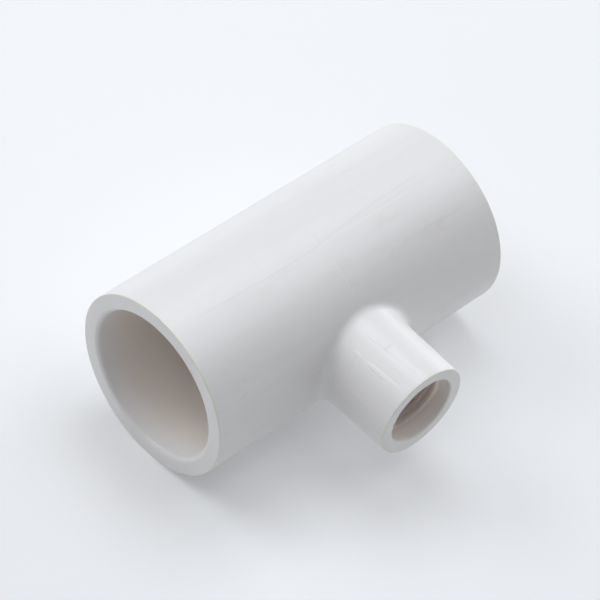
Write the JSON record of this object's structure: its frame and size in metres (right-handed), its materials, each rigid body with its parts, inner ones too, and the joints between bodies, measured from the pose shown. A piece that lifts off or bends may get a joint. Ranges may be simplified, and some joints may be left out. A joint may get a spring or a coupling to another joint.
{
  "type": "pvc reducing tee fitting",
  "caption": "White rigid plastic pipe tee: a straight run with a plain glue socket at each end, and a small internally threaded branch at right angles.",
  "frame": {"origin": "where the run's axis and the branch's axis cross, in the middle of the waterway", "axes": "+X along the run towards the right pipe socket, -Y out of the branch, +Z square to both and up, with the tee lying on the side of its run"},
  "size_m": [0.0476, 0.0355, 0.025],
  "materials": {
    "white_pvc": "moulded semi-gloss"
  },
  "bodies": {
    "root": {"left_pipe_socket": "white_pvc", "right_pipe_socket": "white_pvc", "left_pipe_stop": "white_pvc", "right_pipe_stop": "white_pvc", "centre_body": "white_pvc", "branch_boss": "white_pvc", "branch_thread": "white_pvc"}
  },
  "joints": []
}
